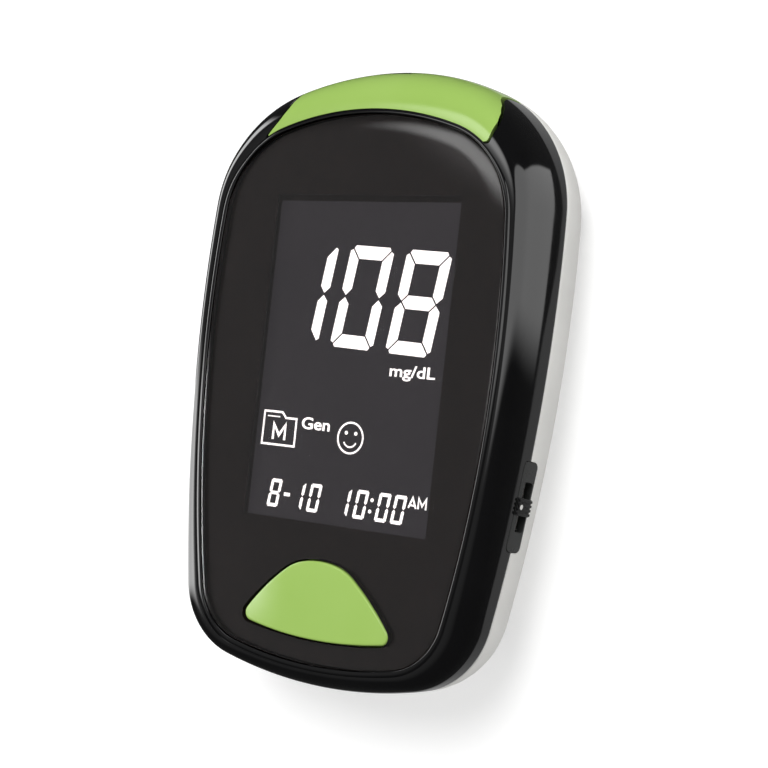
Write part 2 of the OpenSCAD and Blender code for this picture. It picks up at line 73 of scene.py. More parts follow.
button = {
    "outline": [-28.9, 14, 1.5, 8, 40, 12.4, 1.3, 75, -40.8],
    "centre": (0, -35),
    "topZ": 24.0,
    "curve": 170,
    "edgeRadius": 0.35,
    "flangeZ": (19.95, 20.85),
    "flangeGrow": 0.9,
    "postRadius": 2,
    "postZ": (18.65, 20.2),
}
arcStart = np.array([0, 5, 13, 22, 30, 35])    # where the five arcs of half an outline start
wholeTurn = 70


def aim(p, q):
    return math.atan2(q[1] - p[1], q[0] - p[0])


# The five tangent arcs down the right half of an outline: centres, radii, angles
def arcsOf(outline):
    upperY, upperR, ux, ur, sideR, lx, lr, lowerR, lowerY = outline
    upper = np.array([0, upperY - upperR])
    lower = np.array([0, lowerY + lowerR])
    cornerA = upper + [ux, math.sqrt((upperR - ur) ** 2 - ux * ux)]
    cornerB = lower + [lx, -math.sqrt((lowerR - lr) ** 2 - lx * lx)]
    d = cornerB - cornerA
    far = np.hypot(*d)
    ra, rb = sideR - ur, sideR - lr
    along = (ra * ra - rb * rb + far * far) / (2 * far)
    side = cornerA + along * d / far + math.sqrt(ra * ra - along * along) * np.array([d[1], -d[0]]) / far
    angles = [math.pi / 2, aim(upper, cornerA), aim(side, cornerA), aim(side, cornerB),
              aim(lower, cornerB), -math.pi / 2]
    return (np.array([upper, cornerA, side, cornerB, lower]),
            np.array([upperR, ur, sideR, lr, lowerR]), np.array(angles))


# Points of an outline at s = 0 (middle of its upper edge) to 70, clockwise
def outlineAt(outline, grow, s):
    centres, radii, angles = arcsOf(outline)
    s = np.asarray(s, float) % wholeTurn
    t = np.minimum(s, wholeTurn - s)
    k = np.clip(np.searchsorted(arcStart, t, side="right") - 1, 0, 4)
    share = (t - arcStart[k]) / (arcStart[k + 1] - arcStart[k])
    a = angles[k] + (angles[k + 1] - angles[k]) * share
    r = radii[k] + grow
    x = centres[k, 0] + r * np.cos(a)
    y = centres[k, 1] + r * np.sin(a)
    return np.stack([np.where(s > wholeTurn / 2, -x, x), y], axis=-1)


def ringAt(outline, grow, z, s):
    p = outlineAt(outline, grow, s)
    return np.column_stack([p, np.broadcast_to(z, len(p))])


def partingAt(y):
    return case["partingZ"] - case["partingSlope"] * y


def sideX(outline, y):
    centres, radii, _ = arcsOf(outline)
    return centres[2, 0] + math.sqrt(radii[2] ** 2 - (y - centres[2, 1]) ** 2)


evenColumns = np.arange(case["columns"]) * wholeTurn / case["columns"]
halfWidth = sideX(case["outline"], 0)


# ---- mesh helpers

def newPiece(name, points, faces, sharp):
    mesh = bpy.data.meshes.new(name)
    mesh.from_pydata((np.asarray(points, float) * mm).tolist(), [], faces)
    build = bmesh.new()
    build.from_mesh(mesh)
    bmesh.ops.remove_doubles(build, verts=build.verts, dist=1e-7)
    bmesh.ops.recalc_face_normals(build, faces=build.faces)
    build.to_mesh(mesh)
    build.free()
    piece = bpy.data.objects.new(name, mesh)
    bpy.context.scene.collection.objects.link(piece)
    smoothPiece(piece, sharp)
    return piece


def smoothPiece(piece, sharp):
    piece.data.shade_smooth()
    piece.data.set_sharp_from_angle(angle=math.radians(sharp))


# A closed skin through rings of equal count, flat at both ends
def throughRings(name, rings, sharp=35, domed=False):
    n = len(rings[0])
    points = np.concatenate(rings)
    faces = []
    for k in range(len(rings) - 1):
        a = k * n
        faces += [(a + i, a + (i + 1) % n, a + n + (i + 1) % n, a + n + i) for i in range(n)]
    last = (len(rings) - 1) * n
    if domed:
        points = np.concatenate([points, [rings[0].mean(0)]])
        faces += [(i, len(points) - 1, (i + 1) % n) for i in range(n)]
    else:
        faces.append(tuple(range(n)))
    faces.append(tuple(last + i for i in range(n))[::-1])
    return newPiece(name, points, faces, sharp)


# A closed slab between two grids of points of the same size
def slab(name, outer, inner, sharp):
    rows, cols = outer.shape[:2]
    points = np.concatenate([outer.reshape(-1, 3), inner.reshape(-1, 3)])
    at = lambda r, c, side: side * rows * cols + r * cols + c
    faces = []
    for r in range(rows - 1):
        for c in range(cols - 1):
            for side in (0, 1):
                faces.append((at(r, c, side), at(r, c + 1, side),
                              at(r + 1, c + 1, side), at(r + 1, c, side)))
    for c in range(cols - 1):
        for r in (0, rows - 1):
            faces.append((at(r, c, 0), at(r, c + 1, 0), at(r, c + 1, 1), at(r, c, 1)))
    for r in range(rows - 1):
        for c in (0, cols - 1):
            faces.append((at(r, c, 0), at(r + 1, c, 0), at(r + 1, c, 1), at(r, c, 1)))
    return newPiece(name, points, faces, sharp)


# Prisms on flat polygons, all in one piece
def prisms(name, polygons, low, high):
    points, faces = [], []
    for polygon in polygons:
        n, a = len(polygon), len(points)
        points += [(x, y, high) for x, y in polygon] + [(x, y, low) for x, y in polygon]
        faces.append(tuple(range(a, a + n)))
        faces.append(tuple(range(a + n, a + 2 * n))[::-1])
        faces += [(a + i, a + n + i, a + n + (i + 1) % n, a + (i + 1) % n) for i in range(n)]
    return newPiece(name, points, faces, 30)


def rectangle(x, y):
    return [(x[0], y[0]), (x[1], y[0]), (x[1], y[1]), (x[0], y[1])]


def block(name, x, y, z):
    return prisms(name, [rectangle(x, y)], z[0], z[1])


def circle(centre, radius, count=48):
    return [(centre[0] + radius * math.cos(2 * math.pi * i / count),
             centre[1] + radius * math.sin(2 * math.pi * i / count)) for i in range(count)]


def roundedRectangle(width, height, radius, steps=8):
    points = []
    for k, (sx, sy) in enumerate([(1, 1), (-1, 1), (-1, -1), (1, -1)]):
        for i in range(steps + 1):
            a = math.pi / 2 * (k + i / steps)
            points.append((sx * (width / 2 - radius) + radius * math.cos(a),
                           sy * (height / 2 - radius) + radius * math.sin(a)))
    return points


# Joins or cuts with closed cutters, which are then gone
def combine(piece, operation, cutters, sharp=35):
    for cutter in cutters:
        change = piece.modifiers.new("combine", "BOOLEAN")
        change.operation, change.solver, change.object = operation, "MANIFOLD", cutter
    view = bpy.context.evaluated_depsgraph_get()
    mesh = bpy.data.meshes.new_from_object(piece.evaluated_get(view))
    piece.modifiers.clear()
    piece.data = mesh
    for cutter in cutters:
        bpy.data.objects.remove(cutter)
    smoothPiece(piece, sharp)


def softEdges(piece, width, segments=2, angle=40, weld=False):
    if weld:
        join = piece.modifiers.new("join", "WELD")
        join.merge_threshold = 1e-6
    soften = piece.modifiers.new("soften", "BEVEL")
    soften.width, soften.segments = width * mm, segments
    soften.limit_method, soften.angle_limit = "ANGLE", math.radians(angle)
    soften.harden_normals = True


# The side switch's frame: its +X leaves the wall, its +Y runs along it
sideSwitch = {
    "y": -17.1, "plateDrop": 0.1, "slotDrop": 0.4,
    "plate": (13.4, 3.8, 0.9), "slot": (7.4, 2.4, 0.5),    # length, height, corner radius
    "plateGap": 0.1, "plateDeep": 1.4, "slotDeep": 4,
    # a white disc on the knob, a painted highlight: its radius, thickness and place
    "highlightRadius": 0.38, "highlightThick": 0.03, "highlightOut": 0.485, "highlightUp": 1.1,
}
# Turns a flat shape so that its x runs along the wall, its y is up and its z leaves the wall
ontoWall = Matrix(((0, 0, 1, 0), (1, 0, 0, 0), (0, 1, 0, 0), (0, 0, 0, 1)))


def sideFrame():
    x = sideX(case["outline"], sideSwitch["y"])
    centre = arcsOf(case["outline"])[0][2]
    turn = aim(centre, (x, sideSwitch["y"]))
    z = partingAt(sideSwitch["y"]) - sideSwitch["plateDrop"]
    tilt = Matrix.Rotation(-math.atan(case["partingSlope"]), 4, "X")
    return (Matrix.Translation(Vector((x, sideSwitch["y"], z)) * mm)
            @ Matrix.Rotation(turn, 4, "Z") @ tilt)


def sideCutter(name, size, grow, reach, drop):
    width, height, radius = size
    shape = roundedRectangle(width + 2 * grow, height + 2 * grow, radius + grow)
    piece = prisms(name, [shape], -reach, 2)
    piece.data.transform(sideFrame() @ Matrix.Translation((0, 0, -drop * mm)) @ ontoWall)
    return piece


# Room for the side plate and for the knob behind it
def switchCutters(name):
    s = sideSwitch
    return [sideCutter(name + "Plate", s["plate"], s["plateGap"], s["plateDeep"], 0),
            sideCutter(name + "Knob", s["slot"], 0, s["slotDeep"], s["slotDrop"])]


# The slot for the test strip and its rounded mouth: width, height, corner radius
slot = {"width": 7, "height": 1.3, "y": (42, 49), "z": 18.25, "mouth": (9.2, 2.4, 0.9), "mouthDeep": 1.1}


def slotCutters(name):
    w, h, z = slot["width"] / 2, slot["height"] / 2, slot["z"]
    through = block(name + "Through", (-w, w), slot["y"], (z - h, z + h))
    mouth = prisms(name + "Mouth", [roundedRectangle(*slot["mouth"])], -2, slot["mouthDeep"])
    endY = case["outline"][0]
    mouth.data.transform(Matrix(((-1, 0, 0, 0), (0, 0, -1, endY * mm), (0, 1, 0, z * mm), (0, 0, 0, 1))))
    return [through, mouth]


# ---- front shell and fascia

# The side lines run on the wall as the photograph shows them, each as y and x of its points
fascia = {
    "right": ([35.2, 38.2, 39.7, 41.3, 43.5, 46], [22.1, 22.8, 22.4, 21.4, 19.2, 16.6]),
    "left": ([36.5, 38.9, 40.9, 42.8, 44, 46], [19.6, 17.5, 16.2, 15.5, 15.5, 15.9]),
    "lowRight": 35.0, "lowLeft": 36.2, "corner": 0.4, "thick": 1.13, "recess": 1.25, "gap": 0.07,
}
shell = {
    "lip": 0.9, "lipEdge": 0.1,
    "beadTo": 0.86, "beadUp": 0.07, "beadLean": 0.07, "beadSide": 0.06,    # the lip's fine rounded top
    "grooveTo": 1.02, "grooveDeep": 0.15,
    "narrow": 0.42, "narrowPlaces": (11.5, 8.5),
    "wallRows": 30, "fasciaColumns": 50,
    "deckZ": (20.95, 21.95), "window": ((-18.2, 18.2), (-24.6, 28.2)), "buttonGap": 0.35,
}
# Screw posts under the deck, with their bores
posts = {
    "case": {"at": case["posts"], "radius": 2.5, "foot": 11.5, "bore": 1, "boreZ": (10, 18.5)},
    "board": {"at": [(11.6, 35.7), (-11.6, 35.7), (19, -29.6), (-19, -29.6)],
              "radius": 2.1, "foot": 16.25, "bore": 0.8, "boreZ": (15, 20.2)},
}


# One round the upper end of an outline, falling to nought between two places
def upperEnd(s, far, close):
    s = np.asarray(s, float) % wholeTurn
    near = np.clip((far - np.minimum(s, wholeTurn - s)) / (far - close), 0, 1)
    return near * near * (3 - 2 * near)


# The lip narrows between the lens and the fascia
def lipGrow(grow, s):
    narrower = 1 - shell["narrow"] * upperEnd(s, *shell["narrowPlaces"])
    return lens["gap"] + (grow - lens["gap"]) * narrower


# Wall from the lip to the shoulder: a quarter superellipse, flatter at the long sides
def wallAt(s, u, firstGap):
    inner = outlineAt(lens["outline"], lipGrow(shell["lip"], s), s)
    outer = outlineAt(case["outline"], 0, s)
    across = np.hypot(*(outer - inner).T)
    first = np.arctan(firstGap / across)
    theta = np.minimum(first + (math.pi / 2 - first) * u, math.pi / 2 - 1e-9)
    share = np.minimum(1, (outer[:, 0] / halfWidth) ** 2)
    power = 2 / (case["endPower"] + (case["sidePower"] - case["endPower"]) * share)
    a = np.arctan(np.tan(theta) ** (1 / power))
    p = inner + (outer - inner) * (np.sin(a) ** power)[:, None]
    low = partingAt(outer[:, 1]) + case["shoulder"]
    return np.column_stack([p, low + (case["lipZ"] - low) * np.cos(a) ** power])


def straightAt(s, up, inset=0):
    p = outlineAt(case["outline"], -inset, s)
    return np.column_stack([p, partingAt(p[:, 1]) + up])


def wallRows(firstGap):
    n = shell["wallRows"]
    rows = [lambda s, u=(k / n) ** 1.15: wallAt(s, u, firstGap) for k in range(n + 1)]
    bevel = case["bevel"]
    rows += [lambda s, up=up: straightAt(s, up) for up in (1.2, 0.7, bevel)]
    for k in range(1, 5):
        a = math.pi / 2 * k / 4
        rows.append(lambda s, a=a: straightAt(s, bevel * (1 - math.sin(a)), bevel * (1 - math.cos(a))))
    return rows


# Where a row crosses the fascia's side line on one side, less a gap
def crossing(row, gap, side):
    s = np.linspace(3, 15, 900)    # the side lines cross every row between these places
    p = row(side * s)
    lineY, lineX = fascia["right"] if side > 0 else fascia["left"]
    across = side * p[:, 0] - np.interp(p[:, 1], lineY, lineX)
    below = (fascia["lowRight"] if side > 0 else fascia["lowLeft"]) - p[:, 1]
    off = 0.5 * (across + below + np.sqrt((across - below) ** 2 + fascia["corner"] ** 2)) + gap
    k = max(np.argmax(off > 0), 1)
    return np.interp(0, off[k - 1:k + 1], s[k - 1:k + 1])


# Places along a row: even from the left crossing to the right one, then even round the rest
def columnsOf(right, left):
    half = shell["fasciaColumns"]
    inside = np.linspace(-left, right, 2 * half + 1)
    outside = np.linspace(right, wholeTurn - left, case["columns"] - 2 * half + 1)
    return np.concatenate([inside, outside[1:-1]])


# Outward directions of a grid of wall points; the upright rows point level
def outwardOf(grid, levelFrom):
    alongRows = np.gradient(grid, axis=0)
    alongCols = np.gradient(grid, axis=1)
    n = np.cross(alongCols, alongRows)
    n /= np.maximum(np.linalg.norm(n, axis=2, keepdims=True), 1e-12)
    n[levelFrom:, :] = n[levelFrom - 1]
    n[levelFrom:, :, 2] = 0
    n /= np.linalg.norm(n, axis=2, keepdims=True)
    middle = grid[..., :2] - [0, 10]
    if (n[..., :2] * middle).sum() < 0:
        n = -n
    return n


def buildFrontShell():
    seatLow, lipZ = shell["deckZ"][1], case["lipZ"]
    lip = [(lens["gap"], seatLow), (lens["gap"], lipZ - shell["lipEdge"])]
    middle, reach = (lens["gap"] + shell["beadTo"]) / 2, (shell["beadTo"] - lens["gap"]) / 2
    for share in np.linspace(0, 1, 11):
        a = math.pi * share
        out = shell["beadSide"] * share
        high = (shell["beadUp"] + out) * math.sin(a) ** 0.8 - shell["beadLean"] * share - out
        lip.append((middle - reach * math.cos(a), lipZ + high))
    grooveZ = lipZ - shell["grooveDeep"]
    lip += [(shell["beadTo"] + 0.02, grooveZ), (shell["grooveTo"] - 0.02, grooveZ)]
    lipRows = [lambda s, g=g, z=z: ringAt(lens["outline"], lipGrow(g, s), z, s) for g, z in lip]
    wall = wallRows(shell["grooveTo"] - shell["lip"])
    ends = [(crossing(row, 0, 1), crossing(row, 0, -1)) for row in wall]
    ends = [ends[0]] * len(lipRows) + ends
    grid = np.array([row(columnsOf(*end)) for row, end in zip(lipRows + wall, ends)])
    first = len(lipRows)
    outward = outwardOf(grid[first:], shell["wallRows"] + 1)
    sunk = grid[first:] - fascia["recess"] * outward
    inFascia = np.arange(case["columns"]) <= 2 * shell["fasciaColumns"]
    lower = np.where(inFascia[None, :, None], sunk, grid[first:])
    around = columnsOf(9.5, 9.5)    # inside, the fascia's columns end at even places
    cavity = (outlineAt(lens["outline"], 0, around) + outlineAt(case["outline"], 0, around)) / 2
    low = np.column_stack([cavity, partingAt(cavity[:, 1])])
    high = np.column_stack([cavity, np.full(len(cavity), shell["deckZ"][0])])
    rings = list(grid[:first + 1]) + list(lower) + [low, high]
    return throughRings("frontShell", rings, 40)


def postsOf(name, places, radius, low, high):
    return prisms(name, [circle(p, radius, 40) for p in places], low, high)


frontShell = buildFrontShell()
deckLow, deckHigh = shell["deckZ"]
combine(frontShell, "UNION", [postsOf(name + "Posts", post["at"], post["radius"], post["foot"], deckLow + 0.3)
                              for name, post in posts.items()], 40)
buttonHole = outlineAt(button["outline"], shell["buttonGap"], evenColumns).tolist()
openings = [prisms("opening", [shape], deckLow - 1, deckHigh + 0.5)
            for shape in (rectangle(*shell["window"]), buttonHole)]
bores = [postsOf(name + "Bores", post["at"], post["bore"], *post["boreZ"]) for name, post in posts.items()]
combine(frontShell, "DIFFERENCE", openings + bores + switchCutters("shell") + slotCutters("shellSlot"), 40)
print("front shell", len(frontShell.data.polygons))


def buildFascia():
    gap, half = fascia["gap"], shell["fasciaColumns"]
    outer = []
    for row in wallRows(shell["grooveTo"] - shell["lip"] + gap):
        right, left = crossing(row, gap, 1), crossing(row, gap, -1)
        outer.append(row(np.linspace(-left, right, 2 * half + 1)))
    outer = np.array(outer)
    inner = outer - fascia["thick"] * outwardOf(outer, shell["wallRows"] + 1)
    return slab("topFascia", outer, inner, 40)


topFascia = buildFascia()
combine(topFascia, "DIFFERENCE", slotCutters("fasciaSlot"), 40)
softEdges(topFascia, 0.1)
print("fascia", len(topFascia.data.polygons))


# ---- lens, its print and the button

def buildLens():
    middle = (lens["outline"][0] + lens["outline"][8]) / 2
    top, radius, roll, gap = lens["topZ"], lens["edgeRadius"], lens["roll"], lens["gap"]
    ring = lambda grow, z: ringAt(lens["outline"], grow, z, evenColumns)
    rim = outlineAt(lens["outline"], -gap - radius - roll, evenColumns)
    rings = []
    for share in np.sin(np.linspace(0.04, math.pi / 2, 18)):    # the low crown
        p = np.column_stack([rim[:, 0] * share, middle + (rim[:, 1] - middle) * share])
        rings.append(np.column_stack([p, np.full(len(p), top + lens["crown"] * (1 - share * share))]))
    drop = lens["rollDrop"] * upperEnd(evenColumns, *lens["rollPlaces"])
    for share in np.linspace(0, 1, 9)[1:]:
        rings.append(ring(-gap - radius - roll * (1 - share), top - drop * share * share))
    for a in np.linspace(0, math.pi / 2, 4)[1:]:    # the rounded edge
        rings.append(ring(-gap - radius * (1 - math.sin(a)), top - drop - radius * (1 - math.cos(a))))
    rings.append(ring(-gap, lens["underZ"]))
    return throughRings("displayLens", rings, 35, domed=True)


displayLens = buildLens()
lensHole = outlineAt(button["outline"], lens["buttonGap"], evenColumns).tolist()
combine(displayLens, "DIFFERENCE", [prisms("lensHole", [lensHole], 20, 26)], 35)
softEdges(displayLens, 0.08, 2, 50)
inked = [abs(face.normal.z) < lens["inkedBelow"] for face in displayLens.data.polygons]

lensPrint = throughRings("lensPrint", [ringAt(lens["outline"], -lensInk["inset"], z, evenColumns)
                                       for z in lensInk["z"]])
combine(lensPrint, "DIFFERENCE", [prisms("printHole", [shape], 20, 26)
                                  for shape in (lensHole, rectangle(*lensInk["window"]))])


def buildButton():
    radius, top = button["edgeRadius"], button["topZ"]
    cx, cy = button["centre"]
    curve = button["curve"]
    height = lambda p: top - curve + np.sqrt(curve ** 2 - (p[:, 0] - cx) ** 2 - (p[:, 1] - cy) ** 2)
    rim = outlineAt(button["outline"], -radius, evenColumns)
    rings = []
    for share in np.sin(np.linspace(0.05, math.pi / 2, 16)):
        p = np.array([cx, cy]) + (rim - [cx, cy]) * share
        rings.append(np.column_stack([p, height(p)]))
    for a in np.linspace(0, math.pi / 2, 7)[1:]:
        p = outlineAt(button["outline"], -radius * (1 - math.sin(a)), evenColumns)
        rings.append(np.column_stack([p, height(rim) - radius * (1 - math.cos(a))]))
    low, high = button["flangeZ"]
    grow = button["flangeGrow"]
    for g, z in ((0, high), (grow, high), (grow, low)):
        rings.append(ringAt(button["outline"], g, z, evenColumns))
    return throughRings("mainButton", rings, 40, domed=True)


mainButton = buildButton()
combine(mainButton, "UNION", [postsOf("buttonPost", [button["centre"]], button["postRadius"],
                                      *button["postZ"])], 40)
print("lens and button")


# ---- the display's segments, marks and words, printed on its glass

display = {
    "x": (-16.95, 17.05), "y": (-23.4, 26.5), "glassZ": 20.75,
    "shift": 0.38,       # the lens bends the view by this much along x
    "slant": 0.143,
    "fall": 0.038,       # the big digits' row falls to the right
    "border": ((-17.55, 17.55), (-23.9, 27.5)), "borderZ": (20.76, 20.775),
    # a digit's size, the widths of its upright and level strokes, the gaps between them, its cut corners
    "bigDigit": {"width": 8.15, "height": 15.9, "upright": 1.8, "level": 2.05, "gap": 0.17, "cut": 0.9},
    "smallDigit": {"width": 2.15, "height": 4.4, "upright": 0.52, "level": 0.55, "gap": 0.05, "cut": 0.22},
    "reading": [("1", -15.33), ("0", -4.8), ("8", 5.73)], "readingY": 3.75,
    "clock": [("8", -13.75), ("1", -9.05), ("0", -5.9), ("1", -0.2), ("0", 3.0), ("0", 7.1), ("0", 10.0)],
    "clockY": -21.85,
}


# The seven strokes of a digit, as polygons in a box of width by height
def digitStrokes(digit, x, y, width, height, upright, level, gap, cut):
    mid, w, h = height / 2, width, height
    top = [(cut, h), (w - cut, h), (w - cut / 2 - gap, h - cut / 2), (w - upright - gap, h - level),
           (upright + gap, h - level), (cut / 2 + gap, h - cut / 2)]
    upperLeft = [(0, h - cut), (cut / 2, h - cut / 2 - gap), (upright, h - level - gap),
                 (upright, mid + level / 2 + gap), (upright / 2, mid + gap), (0, mid + upright / 2 + gap)]
    bar = [(upright / 2 + gap, mid), (upright + gap, mid + level / 2),
           (w - upright - gap, mid + level / 2), (w - upright / 2 - gap, mid),
           (w - upright - gap, mid - level / 2), (upright + gap, mid - level / 2)]
    flipX = lambda shape: [(w - px, py) for px, py in shape][::-1]
    flipY = lambda shape: [(px, h - py) for px, py in shape][::-1]
    strokes = {"a": top, "b": flipX(upperLeft), "c": flipY(flipX(upperLeft)), "d": flipY(top),
               "e": flipY(upperLeft), "f": upperLeft, "g": bar}
    return [[(x + px + display["slant"] * py, y + py) for px, py in strokes[k]] for k in litStrokes[digit]]


litStrokes = {"0": "abcdef", "1": "bc", "8": "abcdefg"}


def bigDigits():
    shapes = []
    for digit, x in display["reading"]:
        shapes += digitStrokes(digit, x, display["readingY"], **display["bigDigit"])
    return [[(x, y - display["fall"] * x) for x, y in shape] for shape in shapes]


# The date, the time and the small letters after it
def smallDigits():
    shapes = []
    for digit, x in display["clock"]:
        shapes += digitStrokes(digit, x, display["clockY"], **display["smallDigit"])
    shapes.append(rectangle((-10.5, -9.3), (-19.95, -19.4)))
    shapes += [circle(centre, 0.3, 20) for centre in ((6.4, -18.76), (6.17, -20.49))]
    shapes += lineAlong([(13.05, -19.15), (13.72, -17.6), (14.4, -19.15)], 0.3, False)
    shapes += lineAlong([(13.3, -18.72), (14.15, -18.72)], 0.26, False)
    return shapes + letterM(14.8, -19.15, 1.35, 1.6, 0.3)


def letterM(x, y, width, height, line):
    path = [(0, 0), (0, height), (width / 2, height * 0.3), (width, height), (width, 0)]
    return lineAlong([(x + px, y + py) for px, py in path], line, False)


# A line of even width along a path of points, as one quad for each edge
def lineAlong(path, width, closed):
    p = np.array(path, float)
    n = len(p)
    before = np.roll(p, 1, 0) if closed else np.vstack([2 * p[0] - p[1], p[:-1]])
    after = np.roll(p, -1, 0) if closed else np.vstack([p[1:], 2 * p[-1] - p[-2]])
    a = (p - before) / np.linalg.norm(p - before, axis=1)[:, None]
    b = (after - p) / np.linalg.norm(after - p, axis=1)[:, None]
    side = np.column_stack([-(a + b)[:, 1], (a + b)[:, 0]])
    side /= np.linalg.norm(side, axis=1)[:, None]
    side /= np.maximum((side * np.column_stack([-a[:, 1], a[:, 0]])).sum(1), 0.4)[:, None]
    outer, inner = p + side * width / 2, p - side * width / 2
    steps = range(n if closed else n - 1)
    return [[tuple(outer[i]), tuple(outer[(i + 1) % n]), tuple(inner[(i + 1) % n]), tuple(inner[i])]
            for i in steps]


# A folder with its letter and a plain smiling face
def marks():
    folder = [(-16.05, -7.0), (-12.5, -7.0), (-11.7, -7.85), (-9.6, -7.85), (-9.57, -12.15),
              (-16.08, -12.15)]
    shapes = lineAlong(folder, 0.34, True)
    shapes += lineAlong([(-15.4, -7.75), (-12.9, -7.75)], 0.2, False)
    face = circle((1.1, -9.84), 2.35, 40)
    shapes += lineAlong(face, 0.3, True)
    shapes += [circle((0.25, -9.1), 0.3, 20), circle((2.05, -9.1), 0.3, 20)]
    smile = [(1.1 + 1.25 * math.cos(math.radians(a)), -10.0 + 1.25 * math.sin(math.radians(a)))
             for a in range(205, 336, 13)]
    return shapes + lineAlong(smile, 0.26, False) + letterM(-13.95, -11.35, 2.3, 2.4, 0.46)


# A word set in Blender's own font, fitted into a box and made a mesh
def wordPiece(name, text, x, y, bold):
    curve = bpy.data.curves.new(name, "FONT")
    curve.body, curve.offset, curve.extrude, curve.resolution_u = text, bold, 0.05, 4
    shape = bpy.data.objects.new(name + "Curve", curve)
    bpy.context.scene.collection.objects.link(shape)
    bpy.context.view_layer.update()
    mesh = bpy.data.meshes.new_from_object(shape.evaluated_get(bpy.context.evaluated_depsgraph_get()))
    bpy.data.objects.remove(shape)
    co = np.array([v.co[:] for v in mesh.vertices])
    low, high = co.min(0), co.max(0)
    fit = (co - low) / (high - low)
    placed = np.column_stack([x[0] + fit[:, 0] * (x[1] - x[0]), y[0] + fit[:, 1] * (y[1] - y[0]),
                              display["glassZ"] + 0.012 + fit[:, 2] * 0.02])
    faces = [tuple(f.vertices) for f in mesh.polygons]
    return newPiece(name, placed, faces, 30)


def shiftX(polygons):
    return [[(x + display["shift"], y) for x, y in shape] for shape in polygons]


segmentZ = (display["glassZ"] + 0.012, display["glassZ"] + 0.032)
displayPieces = [
    prisms("displayDigits", shiftX(bigDigits()), *segmentZ),
    prisms("displayClock", shiftX(smallDigits()), *segmentZ),
    prisms("displayMarks", shiftX(marks()), *segmentZ),
]
words = [("displayUnit", "mg/dL", (7.05, 15.33), (-0.5, 1.85), 0.018),
         ("displayMode", "Gen", (-8.5, -3.0), (-9.25, -7.35), 0.02)]
for name, text, x, y, bold in words:
    moved = tuple(v + display["shift"] for v in x)
    displayPieces.append(wordPiece(name, text, moved, y, bold))

displayBorder = prisms("displayBorder", [rectangle(*display["border"])], *display["borderZ"])
borderWindow = prisms("borderWindow", [rectangle(display["x"], display["y"])], 20, 22)
combine(displayBorder, "DIFFERENCE", [borderWindow])
print("display")


# ---- rear cover

rear = {"wall": 1.6, "power": 2 / 2.1, "rows": 18}


def rearRing(inset, a, s):
    inner = outlineAt(case["flat"], -inset / 2, s)
    outer = outlineAt(case["outline"], -inset, s)
    p = inner + (outer - inner) * math.cos(a) ** rear["power"]
    high = partingAt(outer[:, 1]) - case["bevel"]
    return np.column_stack([p, high + (inset - high) * math.sin(a) ** rear["power"]])


def rearSkin(name, inset, rise):
    s = evenColumns
    rings = []
    if rise:
        rings.append(straightAt(s, rise, inset))
    else:
        for k in range(4):
            a = math.pi / 2 * k / 4
            bevel = case["bevel"]
            rings.append(straightAt(s, -bevel * (1 - math.cos(a)), inset + bevel * (1 - math.sin(a))))
    for k in range(rear["rows"] + 1):
        rings.append(rearRing(inset, min(math.pi / 2 * k / rear["rows"], math.pi / 2 - 1e-6), s))
    return throughRings(name, rings, 40)


# Spans of x, y and z: the bay for the cells, the set button's well, the door's seat and what else is cut
bay = {"x": (-11.2, 11.2), "y": (-13.6, 36.2), "z": (1, 12.8), "wall": 1.2, "roof": 1.1}
well = {"x": (-5, 5), "y": (-20, -14.8), "z": (1, 9), "roofTop": 10.2, "hole": (0, -17.4), "holeRadius": 1.8}
door = {"x": (-12.6, 12.6), "y": (-20.2, 37.9), "thick": 1.5, "gap": 0.15, "hooksX": (-8, 8)}
label = {"x": (-6.6, 6.6), "y": (-30.3, -22.5), "deep": 0.15}
coverScrew = {"post": 2.5, "postZ": (0.02, 11.4), "hole": 1.15, "well": 2.1, "wellTop": 8}
legsX = (-5.35, 5.35)    # the contacts' legs pass through the bay's upper wall
wallFoot = 0.8           # inner walls start inside the skin


# A span made longer at both ends
def wider(span, low, high=None):
    return span[0] - low, span[1] + (low if high is None else high)


rearCover = rearSkin("rearCover", 0, 0)
combine(rearCover, "DIFFERENCE", [rearSkin("rearHollow", rear["wall"], 2)], 40)
wall = bay["wall"]
combine(rearCover, "UNION", [
    block("bayWalls", wider(bay["x"], wall), wider(bay["y"], wall), (wallFoot, bay["z"][1] + bay["roof"])),
    block("wellWalls", wider(well["x"], wall), wider(well["y"], wall, 0.1), (wallFoot, well["roofTop"])),
    block("seatWalls", wider(door["x"], 1.2), wider(door["y"], 1.4, 1.2), (wallFoot, 2.7)),
], 40)
coverPosts = postsOf("coverPosts", case["posts"], coverScrew["post"], *coverScrew["postZ"])
combine(coverPosts, "INTERSECT", [rearSkin("postTrim", 0.05, 0.5)])
combine(rearCover, "UNION", [coverPosts], 40)
hookY = door["y"][0]
doorGap = door["gap"]
combine(rearCover, "DIFFERENCE", [
    block("doorSeat", wider(door["x"], doorGap), wider(door["y"], doorGap), (-1, door["thick"] + 0.05)),
    block("bayRoom", bay["x"], bay["y"], bay["z"]),
    block("wellRoom", well["x"], well["y"], well["z"]),
    postsOf("setHole", [well["hole"]], well["holeRadius"], 8, 11),
    postsOf("screwHoles", case["posts"], coverScrew["hole"], -1, 13),
    postsOf("screwWells", case["posts"], coverScrew["well"], -1, coverScrew["wellTop"]),
] + switchCutters("cover") + [
    block("labelSeat", label["x"], label["y"], (-1, label["deep"])),
] + [
    block("hookPocket", (x - 1.8, x + 1.8), (hookY - 2.6, hookY + 3), (1.4, 4.9)) for x in door["hooksX"]
] + [
    block("legWindow", (x - 1.3, x + 1.3), (35.6, 36.3), (12, 14.5)) for x in legsX
], 40)
softEdges(rearCover, 0.08, 2, 50)
print("rear cover", len(rearCover.data.polygons))
